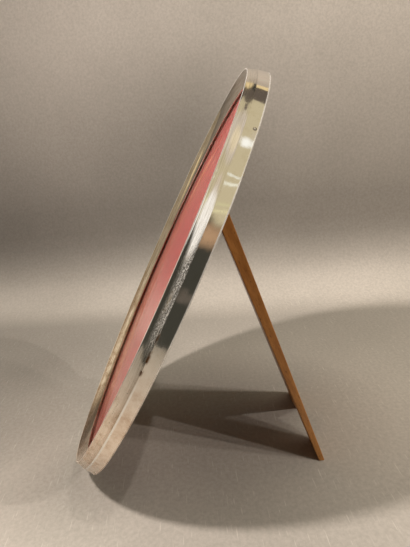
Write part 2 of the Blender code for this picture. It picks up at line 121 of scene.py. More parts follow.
def oval_points(angles, inset, depth):
    """World points on the oval: the outline's ellipse moved inwards square to itself, at a depth behind the ridge."""
    inwards = np.stack((half_height * np.cos(angles), half_width * np.sin(angles)), -1)
    inwards /= np.linalg.norm(inwards, axis=-1, keepdims=True)
    x = half_width * np.cos(angles) - inset * inwards[..., 0]
    y = half_height * np.sin(angles) - inset * inwards[..., 1]
    flat = np.stack((x, y, -depth + 0.0 * x, np.ones_like(x)), -1)
    return (flat @ frame_matrix.T)[..., :3]


def outline_lengths(angles):
    """Length of the outline up to each angle, summed in small steps."""
    fine = np.linspace(0.0, math.tau, 4001)
    speed = np.hypot(half_width * np.sin(fine), half_height * np.cos(fine))
    length = np.concatenate(([0.0], np.cumsum((speed[1:] + speed[:-1]) / 2 * np.diff(fine))))
    return np.interp(angles, fine, length)


def swept_oval(name, section, steps, waver):
    """Closed ring: a closed section of inset and depth pairs carried round the oval. UV is the length run round
    the rim and the length run across the section, in metres. waver moves points by a small inset and depth."""
    section = np.asarray(section, float)
    count = len(section)
    angles = np.arange(steps + 1) * math.tau / steps
    shift_inset, shift_depth = waver(angles[:steps, None], section[None, :, 0], section[None, :, 1])
    inset = section[:, 0] + outline_trim + shift_inset
    depth = section[:, 1] + shift_depth
    points = oval_points(angles[:steps, None], inset, depth).reshape(-1, 3)
    rows = np.arange(steps)[:, None]
    corners = np.arange(count)[None, :]
    quads = grid_quads(rows, corners, (rows + 1) % steps, (corners + 1) % count, count)
    run = outline_lengths(angles)
    hop = np.linalg.norm(np.diff(np.vstack((section, section[:1])), axis=0), axis=1)
    across = np.concatenate(([0.0], np.cumsum(hop)))
    u0, u1 = run[rows], run[rows + 1]
    v0, v1 = across[corners], across[corners + 1]
    uv = np.stack([np.stack(np.broadcast_arrays(u, v), -1) for u, v in ((u0, v0), (u0, v1), (u1, v1), (u1, v0))], -2)
    return make_mesh(name, points, quads, uv.reshape(-1, 2))


def oval_sheet(name, inset, front, back, rounding, steps=360, rings=5):
    """Oval plate closed on both faces: rings shrink from the rounded edge to a small middle on each face."""
    edge = [(inset + rounding, front)]
    for index in range(1, 4):
        turn = index * math.pi / 8
        edge.append((inset + rounding * (1 - math.sin(turn)), front + rounding * (1 - math.cos(turn))))
    for index in range(5):
        turn = index * math.pi / 8
        edge.append((inset + rounding * (1 - math.cos(turn)), back - rounding * (1 - math.sin(turn))))
    angles = np.arange(steps) * math.tau / steps
    loops = [oval_points(angles, loop_inset, loop_depth) for loop_inset, loop_depth in edge]
    centre_front = oval_points(np.array([0.0, math.pi]), 0.0, front).mean(0)
    centre_back = oval_points(np.array([0.0, math.pi]), 0.0, back).mean(0)
    shares = np.linspace(0.0, 1.0, rings + 1)[1:-1]
    front_loops = [loops[0] + (centre_front - loops[0]) * share for share in shares]
    back_loops = [loops[-1] + (centre_back - loops[-1]) * share for share in shares]
    every = front_loops[::-1] + loops + back_loops
    points = np.concatenate(every + [centre_front[None], centre_back[None]])
    rows = np.arange(len(every) - 1)[:, None]
    corners = np.arange(steps)[None, :]
    beside = (corners + 1) % steps
    quads = np.stack((rows * steps + corners, (rows + 1) * steps + corners, (rows + 1) * steps + beside,
                      rows * steps + beside), -1).reshape(-1, 4)
    last = (len(every) - 1) * steps
    front_mid, back_mid = len(points) - 2, len(points) - 1
    spokes = [(front_mid, corner, (corner + 1) % steps) for corner in range(steps)]
    spokes += [(back_mid, last + (corner + 1) % steps, last + corner) for corner in range(steps)]
    mesh = bpy.data.meshes.new(name)
    mesh.from_pydata(points.tolist(), [], quads.tolist() + spokes)
    shape = bmesh.new()
    shape.from_mesh(mesh)
    bmesh.ops.recalc_face_normals(shape, faces=shape.faces[:])
    shape.to_mesh(mesh)
    shape.free()
    mesh.shade_smooth()
    mesh.set_sharp_from_angle(angle=sheet_sharp_angle)
    return link(name, mesh)


def arc(centre, radius, start, end, steps):
    """Points along an arc, both ends included."""
    turns = np.linspace(start, end, steps + 1)
    return [(centre[0] + radius * math.cos(t), centre[1] + radius * math.sin(t)) for t in turns]


def curved(start, end, sag, steps):
    """Line between two points that bulges sideways by a shallow curve, most in its middle."""
    dx, dy = end[0] - start[0], end[1] - start[1]
    length = math.hypot(dx, dy)
    line = []
    for share in np.linspace(0.0, 1.0, steps + 1):
        dip = 4.0 * sag * share * (1.0 - share)
        line.append((start[0] + share * dx + dip * dy / length, start[1] + share * dy - dip * dx / length))
    return line


def tangent(point, centre, radius, side):
    """Angle on a circle where a line from an outside point touches it: the angle towards the point, turned to one
    side by the angle whose cosine is the radius over the distance."""
    towards_point = math.atan2(point[1] - centre[1], point[0] - centre[0])
    distance = math.hypot(point[0] - centre[0], point[1] - centre[1])
    return towards_point + side * math.acos(radius / distance)


# Node building
class Board:
    """Short words for placing shader nodes in one material or world."""

    def __init__(self, tree):
        self.tree = tree

    def add(self, kind, inputs=None, **settings):
        """One node with its settings, and with values or links in its inputs."""
        item = self.tree.nodes.new(kind)
        for key, value in settings.items():
            setattr(item, key, value)
        for key, value in (inputs or {}).items():
            self.feed(item.inputs[key], value)
        return item

    def feed(self, socket, value):
        """Links a socket or a node's first output to an input, or sets a constant in it."""
        if isinstance(value, bpy.types.NodeSocket):
            self.tree.links.new(value, socket)
        elif isinstance(value, bpy.types.Node):
            self.tree.links.new(value.outputs[0], socket)
        else:
            socket.default_value = value

    def maths(self, operation, first, second=0.0, clamp=False):
        """One sum of two values, or of one where the operation needs no second."""
        item = self.add("ShaderNodeMath", operation=operation, use_clamp=clamp)
        self.feed(item.inputs[0], first)
        self.feed(item.inputs[1], second)
        return item.outputs[0]

    def product(self, first, *others):
        """Values multiplied one after the other."""
        for other in others:
            first = self.maths("MULTIPLY", first, other)
        return first

    def total(self, first, *others):
        """Values added one after the other."""
        for other in others:
            first = self.maths("ADD", first, other)
        return first

    def apart(self, value, other):
        """How far two values are apart, whichever is larger."""
        return self.maths("ABSOLUTE", self.maths("SUBTRACT", value, other))

    def spread(self, value, low, high, to_low=0.0, to_high=1.0):
        """Maps a stretch of values to another and holds it at the ends."""
        item = self.add("ShaderNodeMapRange", {"Value": value, "From Min": low, "From Max": high,
                                               "To Min": to_low, "To Max": to_high})
        item.clamp = True
        return item.outputs[0]

    def fade(self, value, low, high, to_high=0.0):
        """One below a stretch of values, and less beyond it."""
        return self.spread(value, low, high, 1.0, to_high)

    def between(self, value, rise, fall):
        """Rises from nothing to one over a first stretch of values and falls back over a second."""
        return self.product(self.spread(value, *rise), self.fade(value, *fall))

    def along(self, vector, way):
        """Dot product of a vector and a direction."""
        return self.add("ShaderNodeVectorMath", {0: vector, 1: way}, operation="DOT_PRODUCT").outputs["Value"]

    def far_from(self, vector, spot):
        """Distance of a point from a spot."""
        return self.add("ShaderNodeVectorMath", {0: vector, 1: spot}, operation="DISTANCE").outputs["Value"]

    def noise(self, vector, scale, detail=4.0, rough=0.5, distortion=0.0):
        """Cloudy pattern, its scale in cells to the metre where the vector is a place."""
        return self.add("ShaderNodeTexNoise", {"Vector": vector, "Scale": scale, "Detail": detail,
                                               "Roughness": rough, "Distortion": distortion}).outputs["Fac"]

    def mix(self, kind, share, first, second):
        """Two colours mixed by a share: MIX goes from one to the other, MULTIPLY darkens, ADD adds light."""
        item = self.add("ShaderNodeMix", data_type="RGBA", blend_type=kind)
        self.feed(item.inputs["Factor"], share)
        self.feed(item.inputs["A"], first)
        self.feed(item.inputs["B"], second)
        return item.outputs["Result"]

    def blend(self, share, first, second):
        """Goes from the first colour to the second by a share."""
        return self.mix("MIX", share, first, second)

    def multiply(self, share, first, second):
        """The first colour darkened by the second, by a share."""
        return self.mix("MULTIPLY", share, first, second)

    def stretch(self, vector, scale, turn=(0.0, 0.0, 0.0)):
        """Vector turned and scaled, for a pattern drawn out one way."""
        return self.add("ShaderNodeMapping", {"Vector": vector, "Scale": scale, "Rotation": turn}).outputs[0]

    def bump(self, strength, distance, height, over=None):
        """Relief of a height map, laid over an earlier bump if there is one."""
        inputs = {"Strength": strength, "Distance": distance, "Height": height}
        if over is not None:
            inputs["Normal"] = over
        return self.add("ShaderNodeBump", inputs)


def new_material(name):
    """Material with its board of nodes and its surface node."""
    material = bpy.data.materials.new(name)
    material.use_nodes = True
    return material, Board(material.node_tree), material.node_tree.nodes["Principled BSDF"]


def rgb(red, green, blue):
    """Opaque colour."""
    return (red, green, blue, 1.0)


def pin_hole_painted_shade(board, solid):
    """Painted shade of the holes the pins sit in: dark rings round the pins, wider at the one at the foot: one within
    the reach, none just beyond it.
    """
    narrow_reach, wide_reach, soft_edge, foot_height = 0.9 * MM, 1.5 * MM, 0.3 * MM, 20.0 * MM
    holes = None
    for spot in pin_places:
        reach = wide_reach if spot[2] < foot_height else narrow_reach
        hole = board.fade(board.far_from(solid, spot), reach, reach + soft_edge)
        holes = hole if holes is None else board.maths("MAXIMUM", holes, hole)
    return holes


def silver_material(name):
    """Old polished silver on a rim: a clear mirror above, warmer, scuffed and hazy near the foot, with fine
    lengthwise polishing lines and a few brown specks. The bevel is rubbed pale half-way up, which also paints in
    part of a bright reflected streak there. The crease holds brown tarnish just below that, and near the foot it is
    a pale line, a painted highlight, under painted shade that makes the bevel slightly darker. Painted shade darkens
    the foot of the lip and the holes round the pins. Lines along the ridge and the rolled edge are made less metallic
    as painted highlights. The UV map gives the run round the rim and the run across the section, both in metres."""
    material, board, surface = new_material(name)
    place = board.add("ShaderNodeTexCoord")
    solid = place.outputs["Object"]
    run = place.outputs["UV"]
    across = board.add("ShaderNodeSeparateXYZ", {0: run}).outputs["Y"]
    height = board.add("ShaderNodeSeparateXYZ", {0: solid}).outputs["Z"]

    # Patterns
    lines = board.noise(board.stretch(run, (120.0, 5200.0, 1.0)), 1.0, 3.0, 0.6)
    streaks = board.noise(board.stretch(run, (60.0, 1500.0, 1.0)), 1.0, 4.0, 0.65)
    flecks = board.noise(board.stretch(run, (700.0, 2300.0, 1.0)), 1.0, 3.0, 0.6)
    cloud = board.noise(solid, 42.0, 4.0, 0.55)
    patch = board.noise(solid, 130.0, 5.0, 0.65)
    blotch = board.noise(solid, 190.0, 5.0, 0.65)
    specks = board.noise(solid, 620.0, 3.0, 0.55)
    grit = board.noise(solid, 2600.0, 3.0, 0.7)
    scuffs = board.noise(board.stretch(solid, (1.0, 1.0, 0.45), (0.5, 0.3, 0.2)), 900.0, 4.0, 0.7)

    # Places on the rim
    low = board.fade(height, *foot_haze_ends)
    on_bevel = board.between(across, (ridge_run, ridge_run + 0.6 * MM), (crease_run, crease_run + 0.3 * MM))
    on_lip = board.spread(across, ridge_run - 1.8 * MM, ridge_run - 1.3 * MM, 0.9, 0.0)
    near_crease = board.fade(board.apart(across, crease_run), 0.3 * MM, 1.2 * MM)
    dull = board.spread(patch, 0.5, 0.72)
    stain = board.spread(specks, 0.73, 0.78)
    tarnish = board.product(near_crease, board.spread(blotch, 0.46, 0.55),
                            board.spread(height, *tarnish_starts, to_low=0.03),
                            board.fade(height, *tarnish_ends, to_high=0.05))
    # Pale rubbed wear on the bevel, which also paints in part of a bright reflected streak
    rubbed_and_painted_reflection = board.product(on_bevel, board.between(height, rubbed_and_painted_reflection_starts, rubbed_and_painted_reflection_ends),
                           board.spread(streaks, 0.34, 0.48),
                           board.spread(across, crease_run - 4.6 * MM, crease_run - 2.0 * MM),
                           board.spread(grit, 0.42, 0.58, to_low=0.1), board.spread(flecks, 0.40, 0.55, to_low=0.12))
    # Painted shade: the foot of the lip darkened where it meets the glass
    lip_foot_painted_shade = board.spread(across, 0.1 * MM, 0.4 * MM, 0.7, 0.0)
    # Painted shade: the bevel darkened near the foot, beside the crease
    bevel_painted_shade = board.product(on_bevel, board.fade(height, *bevel_painted_shade_ends),
                               board.spread(across, crease_run - 2.8 * MM, crease_run - 0.4 * MM))
    # Painted highlight: a pale line along the crease near the foot
    crease_painted_highlight = board.product(board.fade(board.apart(across, crease_run + 0.4 * MM), 0.3 * MM, 0.8 * MM),
                                board.fade(height, *crease_painted_highlight_ends))
    # Painted highlights: lines along the ridge and the rolled edge made less metallic, so that their pale colour shows
    ridge_painted_highlight = board.between(across, (ridge_run - 1.4 * MM, ridge_run - 1.1 * MM),
                               (ridge_run - 0.5 * MM, ridge_run - 0.2 * MM))
    rolled_edge_painted_highlight = board.between(across, (edge_run - 0.5 * MM, edge_run - 0.1 * MM),
                              (edge_run + 1.0 * MM, edge_run + 1.4 * MM))
    edge_painted_highlights = board.product(board.maths("MAXIMUM", ridge_painted_highlight, rolled_edge_painted_highlight), board.spread(cloud, 0.3, 0.6, to_low=0.55))

    colour = board.blend(board.product(dull, 0.30), rgb(0.945, 0.915, 0.865), rgb(0.74, 0.66, 0.54))
    colour = board.blend(board.product(stain, 0.75), colour, rgb(0.20, 0.11, 0.045))
    colour = board.blend(tarnish, colour, rgb(0.19, 0.092, 0.035))
    # Painted shade at the foot of the lip
    colour = board.blend(lip_foot_painted_shade, colour, rgb(0.13, 0.065, 0.025))
    for share, tint in ((board.product(low, 0.8), rgb(1.0, 0.87, 0.77)),
                        (board.product(on_lip, board.spread(streaks, 0.38, 0.60)), rgb(0.62, 0.56, 0.47)),
                        (board.product(on_bevel, board.spread(streaks, 0.40, 0.64, to_high=0.8)),
                         rgb(0.80, 0.775, 0.73)),
                        (board.product(low, board.spread(patch, 0.42, 0.66, to_high=0.8)), rgb(0.72, 0.62, 0.54))):
        colour = board.multiply(share, colour, tint)
    # Rubbed wear with painted reflection, painted shade on the bevel, painted highlight on the crease, painted shade
    # round the pins
    colour = board.blend(rubbed_and_painted_reflection, colour, rgb(1.0, 0.97, 0.91))
    colour = board.multiply(bevel_painted_shade, colour, rgb(0.80, 0.76, 0.72))
    colour = board.blend(crease_painted_highlight, colour, rgb(1.0, 0.98, 0.94))
    # Painted shade in the holes round the pins
    colour = board.blend(board.product(pin_hole_painted_shade(board, solid), 0.92), colour, rgb(0.055, 0.032, 0.015))
    board.feed(surface.inputs["Base Color"], colour)

    rough = board.total(board.spread(cloud, 0.3, 0.7, 0.035, 0.085), board.spread(scuffs, 0.55, 0.75, to_high=0.14),
                        board.product(low, board.spread(patch, 0.3, 0.7, 0.08, 0.20)),
                        board.product(rubbed_and_painted_reflection, 0.22), board.product(tarnish, 0.3), board.product(edge_painted_highlights, 0.2),
                        board.product(on_bevel, board.spread(streaks, 0.42, 0.66, to_high=0.14)))
    board.feed(surface.inputs["Roughness"], rough)
    # Less metallic where the edge lines are painted highlights and where the bevel is rubbed and painted pale
    bare = board.maths("ADD", board.product(edge_painted_highlights, 0.65), board.product(rubbed_and_painted_reflection, 0.9), clamp=True)
    board.feed(surface.inputs["Metallic"], board.maths("SUBTRACT", 1.0, bare))

    pits = board.total(board.product(board.total(low, rubbed_and_painted_reflection), grit), board.product(stain, -1.0))
    wave = board.bump(0.10, 0.6 * MM, cloud)
    line_relief = board.bump(0.10, 0.04 * MM, lines, wave)
    board.feed(surface.inputs["Normal"], board.bump(0.30, 0.05 * MM, pits, line_relief))
    return material


def pin_material(name):
    """Small silver pin heads: dulled, with brown tarnish gathered in soft clouds."""
    material, board, surface = new_material(name)
    solid = board.add("ShaderNodeTexCoord").outputs["Object"]
    cloud = board.noise(solid, 1400.0, 3.0, 0.6)
    board.feed(surface.inputs["Base Color"],
               board.blend(board.spread(cloud, 0.42, 0.66), rgb(1.0, 0.97, 0.88), rgb(0.74, 0.62, 0.42)))
    board.feed(surface.inputs["Roughness"], board.spread(cloud, 0.3, 0.7, 0.26, 0.40))
    surface.inputs["Metallic"].default_value = 0.6
    board.feed(surface.inputs["Normal"], board.bump(0.2, 0.03 * MM, cloud))
    return material


def wood_material(name, turn, light, dark, rough_low, rough_high, grain_scale=1.0, pores=1.0):
    """Wood with its grain along the turned Y axis: broad figure, close growth lines and short dark pores."""
    material, board, surface = new_material(name)
    place = board.add("ShaderNodeTexCoord").outputs["Object"]
    straight = board.add("ShaderNodeVectorRotate", {"Vector": place, "Rotation": turn}, rotation_type="EULER_XYZ",
                         invert=True).outputs[0]
    figure = board.noise(board.stretch(straight, (38.0 * grain_scale, 5.0, 38.0 * grain_scale)), 1.0, 3.0, 0.5, 0.4)
    growth = board.noise(board.stretch(straight, (420.0 * grain_scale, 9.0, 260.0 * grain_scale)), 1.0, 4.0, 0.6, 0.2)
    fibre = board.noise(board.stretch(straight, (1700.0, 55.0, 1700.0)), 1.0, 3.0, 0.6)
    pore = board.noise(board.stretch(straight, (2300.0, 150.0, 2300.0)), 1.0, 1.0, 0.4)
    share = board.total(board.product(figure, 0.55), board.product(growth, 0.45))
    colour = board.blend(board.spread(share, 0.36, 0.64), rgb(*dark), rgb(*light))
    colour = board.multiply(board.spread(fibre, 0.4, 0.7, to_high=0.35), colour, rgb(0.55, 0.42, 0.34))
    pore_mask = board.spread(pore, 0.66, 0.74, to_high=0.75 * pores)
    colour = board.blend(pore_mask, colour, rgb(dark[0] * 0.25, dark[1] * 0.22, dark[2] * 0.3))
    board.feed(surface.inputs["Base Color"], colour)
    rough = board.spread(board.noise(place, 60.0, 4.0), 0.3, 0.7, rough_low, rough_high)
    board.feed(surface.inputs["Roughness"], rough)
    relief = board.maths("SUBTRACT", board.product(growth, 0.4), pore_mask)
    relief = board.total(relief, board.product(fibre, 0.3))
    board.feed(surface.inputs["Normal"], board.bump(0.35, 0.12 * MM, relief))
    return material


def brass_material(name, tint, rough):
    """Dulled brass: cloudy tarnish, small brown spots and fine scratches."""
    material, board, surface = new_material(name)
    place = board.add("ShaderNodeTexCoord").outputs["Object"]
    cloud = board.noise(place, 260.0, 5.0, 0.6)
    spots = board.noise(place, 1500.0, 3.0, 0.6)
    scratches = board.noise(board.stretch(place, (900.0, 5200.0, 900.0), (0.4, 0.2, 0.9)), 1.0, 3.0, 0.6)
    colour = board.blend(board.spread(cloud, 0.42, 0.68, to_high=0.7), rgb(*tint),
                         rgb(tint[0] * 0.5, tint[1] * 0.42, tint[2] * 0.35))
    colour = board.blend(board.spread(spots, 0.64, 0.72, to_high=0.7), colour, rgb(0.10, 0.06, 0.03))
    board.feed(surface.inputs["Base Color"], colour)
    board.feed(surface.inputs["Roughness"], board.spread(cloud, 0.3, 0.7, rough, rough + 0.18))
    surface.inputs["Metallic"].default_value = 1.0
    board.feed(surface.inputs["Normal"], board.bump(0.25, 0.05 * MM, scratches))
    return material


def card_material(name, light, dark, rough, fibre_scale):
    """Paper card: a faint cloud of tone and a felt of short fibres."""
    material, board, surface = new_material(name)
    place = board.add("ShaderNodeTexCoord").outputs["Object"]
    cloud = board.noise(place, 14.0, 3.0, 0.5)
    fibres = board.noise(board.stretch(place, (1.0, 1.6, 1.0), (0.3, 0.2, 0.5)), fibre_scale, 5.0, 0.7)
    share = board.total(board.product(cloud, 0.6), board.product(fibres, 0.4))
    board.feed(surface.inputs["Base Color"], board.blend(board.spread(share, 0.35, 0.65), rgb(*dark), rgb(*light)))
    board.feed(surface.inputs["Roughness"], board.spread(fibres, 0.3, 0.7, rough - 0.08, rough + 0.05))
    board.feed(surface.inputs["Normal"], board.bump(0.3, 0.08 * MM, fibres))
    return material


def pane_material(name):
    """Thin clear glass: a mirror whose strength follows the angle, up to a limit, clear elsewhere, with faint
    dust and smears. The two faces together mirror twice the share of one, over one plus that share."""
    glass_ior, strongest_mirror = 1.5, 0.36
    material, board, surface = new_material(name)
    place = board.add("ShaderNodeTexCoord").outputs["Object"]
    single = board.add("ShaderNodeFresnel", {"IOR": glass_ior}).outputs[0]
    double = board.maths("DIVIDE", board.product(single, 2.0), board.total(single, 1.0))
    dust = board.spread(board.noise(place, 1600.0, 3.0, 0.6), 0.68, 0.78, to_high=0.10)
    smear = board.spread(board.noise(place, 22.0, 4.0, 0.6), 0.45, 0.75, to_high=0.03)
    alpha = board.maths("ADD", board.maths("MINIMUM", double, strongest_mirror), board.total(dust, smear), clamp=True)
    board.feed(surface.inputs["Alpha"], alpha)
    surface.inputs["Base Color"].default_value = rgb(0.96, 0.97, 0.96)
    surface.inputs["Metallic"].default_value = 1.0
    board.feed(surface.inputs["Roughness"], board.spread(board.noise(place, 30.0, 4.0), 0.3, 0.7, 0.015, 0.05))
    return material


# Section of the silver moulding, finer than the CAD solid and with its small roundings, by a number of steps for
# each of its lines. It goes from the foot of the lip over the ridge and down the wall, and back inside the sheet.
rim_steps, lip_steps, bead_steps, bevel_steps, wall_steps, edge_steps = 480, 14, 12, 14, 12, 16
bead_centre = (ridge_inset, bead_radius)
lip_top = (sight_inset, lip_foot - lip_step)
lip_angle = tangent(lip_top, bead_centre, bead_radius, -1)
bevel_angle = tangent(crease, bead_centre, bead_radius, 1) - math.tau
bead = arc(bead_centre, bead_radius, lip_angle, bevel_angle, bead_steps)
bevel_line = curved(bead[-1], crease, bevel_bulge, bevel_steps)
wall_end = (0.0, rim_depth)
wall_length = math.hypot(wall_end[0] - crease[0], wall_end[1] - crease[1])
wall_run = ((wall_end[0] - crease[0]) / wall_length, (wall_end[1] - crease[1]) / wall_length)
edge_radius = sheet / 2
edge_centre = (wall_end[0] - wall_run[0] * edge_radius + wall_run[1] * edge_radius,
               wall_end[1] - wall_run[1] * edge_radius - wall_run[0] * edge_radius)
edge_start = math.atan2(wall_run[0], -wall_run[1])
rolled = arc(edge_centre, edge_radius, edge_start, edge_start - math.pi, edge_steps)
wall_line = curved(crease, rolled[0], wall_bulge, wall_steps)
lip_curve = curved(lip_top, bead[0], lip_bulge, lip_steps)
inner_points = [(2.33 * MM, 6.35 * MM), (4.55 * MM, 1.42 * MM), (8.0 * MM, 3.66 * MM), (11.45 * MM, 6.2 * MM)]
lip_edge = [(sight_inset, lip_foot), (sight_inset, lip_foot - lip_foot_edge)]
below_crease = (crease[0] + crease_support * wall_run[0], crease[1] + crease_support * wall_run[1])
moulding = (lip_edge + lip_curve[:-1] + bead + bevel_line[1:-1] + [crease, below_crease] + wall_line[1:-1] + rolled
            + inner_points)

# Run across the section up to the ridge, the crease and the rolled edge
hops = np.hypot(*np.diff(np.array(moulding), axis=0).T)
runs = np.concatenate(([0.0], np.cumsum(hops)))
bead_end = len(lip_edge) + len(lip_curve) - 1 + len(bead) - 1
ridge_run = float(runs[bead_end])
crease_run = float(runs[bead_end + len(bevel_line) - 1])
edge_run = float(runs[len(moulding) - len(inner_points) - len(rolled)])


def pin_head_place(pin):
    """Middle of a pin's outermost points, those farthest out in shares of the oval's half sizes."""
    places = np.array([tuple(pin.matrix_world @ vertex.co) for vertex in pin.data.vertices])
    flat = places - np.array(middle)
    up_the_oval = flat @ np.array([0.0, math.sin(lean), math.cos(lean)])
    outward = np.hypot(flat[:, 0] / half_width, up_the_oval / half_height)
    outermost = outward > outward.max() - 0.004
    return tuple(places[outermost].mean(0))


pin_places = [pin_head_place(item) for name, item in nodes.items() if name.startswith("rim_pin")]


def hammered(angle, inset, depth):
    """Slight unevenness of old sheet silver: a few slow waves round the rim, a tenth of a millimetre at most."""
    wave = 0.035 * np.sin(5 * angle + 0.7) + 0.03 * np.sin(11 * angle + 2.1) + 0.018 * np.sin(23 * angle + 0.3)
    cross = 0.02 * np.sin(17 * angle + inset * 900.0) + 0.015 * np.sin(31 * angle - depth * 700.0)
    return np.abs(wave + cross) * MM * 0.8, cross * MM * 0.5


ring_turn = (math.pi / 2 - lean, 0.0, 0.0)
strut_turn = (math.pi / 2 + strut_from_upright, 0.0, 0.0)
silver = silver_material("worn_silver")
pin_silver = pin_material("pin_head_silver")
strut_wood = wood_material("strut_mahogany_grain", strut_turn, (0.60, 0.275, 0.075), (0.32, 0.125, 0.030), 0.30, 0.46)
board_wood = wood_material("board_mahogany_grain", ring_turn, (0.25, 0.085, 0.026), (0.11, 0.034, 0.011), 0.36, 0.52,
                           grain_scale=0.7)
ring_grain = wood_material("ring_wood_grain", ring_turn, (0.33, 0.19, 0.085), (0.19, 0.10, 0.042), 0.55, 0.72,
                           grain_scale=0.9, pores=0.6)
hinge_brass = brass_material("hinge_brass_dull", (0.72, 0.50, 0.20), 0.26)
button_brass = brass_material("button_brass_dull", (0.76, 0.54, 0.23), 0.24)
screw_brass = brass_material("screw_brass_dull", (0.62, 0.42, 0.17), 0.30)
rose = card_material("rose_card_fibres", (0.90, 0.165, 0.165), (0.80, 0.130, 0.130), 0.55, 1900.0)
grey = card_material("grey_card_fibres", (0.40, 0.33, 0.25), (0.29, 0.235, 0.175), 0.9, 1300.0)
pane = pane_material("clear_pane_glass")

rim = swept_oval("silver_moulding", moulding, rim_steps, hammered)
rim.data.materials.append(silver)
rim.data.set_sharp_from_angle(angle=silver_sharp_angle)
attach(rim, "frame")
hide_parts("silver_rim")

glass_sheet = oval_sheet("glass_pane", pane_inset, glass_front, glass_back, glass_rounding)
glass_sheet.data.materials.append(pane)
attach(glass_sheet, "frame")
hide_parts("glass")

insert_sheet = oval_sheet("rose_insert", pane_inset, insert_front, insert_back, insert_rounding)
insert_sheet.data.materials.append(rose)
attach(insert_sheet, "frame")
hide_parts("insert_card")

# Finishes of the pieces that keep their CAD shape
finishes = {
    "wood_ring": ring_grain,
    "backing_card": grey,
    "back_board": board_wood,
    "strut": strut_wood,
    "hinge_leaf_board": hinge_brass,
    "hinge_leaf_strut": hinge_brass,
    "hinge_pin": hinge_brass,
}
for name, item in nodes.items():
    if "screw" in name:
        finish = screw_brass
    elif name.startswith("rim_pin"):
        finish = pin_silver
    elif name.startswith("turn_button_"):
        finish = button_brass
    else:
        finish = finishes.get(name)
    if finish:
        for entry in item.material_slots:
            entry.material = finish

# Floor that sweeps up into a backdrop beyond the frame, seen from the camera, and turned a little
stage_turn = math.radians(8.5)
bend_start = Vector((-0.264, 0.0, 0.0))
sweep_radius = 0.10
sweep_steps, side_steps = 40, 48
side_ends = (-0.56, 1.6)
floor_runs = (-0.80, -0.6, -0.4, -0.3, -0.2, -0.1, -0.03, 0.0)
backdrop_heights = (0.14, 0.2, 0.3, 0.4, 0.5, 0.6, 0.75)
back_way = np.array([-math.cos(stage_turn), math.sin(stage_turn), 0.0])
side_way = np.array([math.sin(stage_turn), math.cos(stage_turn), 0.0])
profile = [(run, 0.0) for run in floor_runs]
for turn in np.linspace(0.0, math.pi / 2, sweep_steps + 1)[1:]:
    profile.append((sweep_radius * math.sin(turn), sweep_radius * (1 - math.cos(turn))))
profile += [(sweep_radius, height) for height in backdrop_heights]
profile = np.array(profile)
sides = np.linspace(*side_ends, side_steps + 1)
grid = (np.array(bend_start) + profile[:, None, :1] * back_way + sides[None, :, None] * side_way
        + profile[:, None, 1:] * np.array([0.0, 0.0, 1.0]))
rows = np.arange(len(profile) - 1)[:, None]
columns = np.arange(len(sides) - 1)[None, :]
stage_quads = grid_quads(rows, columns, rows + 1, columns + 1, len(sides))
stage = make_mesh("floor_and_backdrop", grid.reshape(-1, 3), stage_quads)

# Round places of painted shadow and painted light on the paper: middle, reach in metres, brightness at the middle
painted_shadow_and_light_places = [
    ((-0.15, -0.17, 0.0), 0.17, 0.72),
    ((-0.36, 0.02, 0.23), 0.18, 0.70),
    ((0.045, -0.085, 0.0), 0.06, 0.72),
    ((-0.02, 0.035, 0.0), 0.125, 0.54),
    ((-0.03, 0.18, 0.0), 0.19, 1.30),
    ((0.10, -0.13, 0.0), 0.10, 1.28),
]


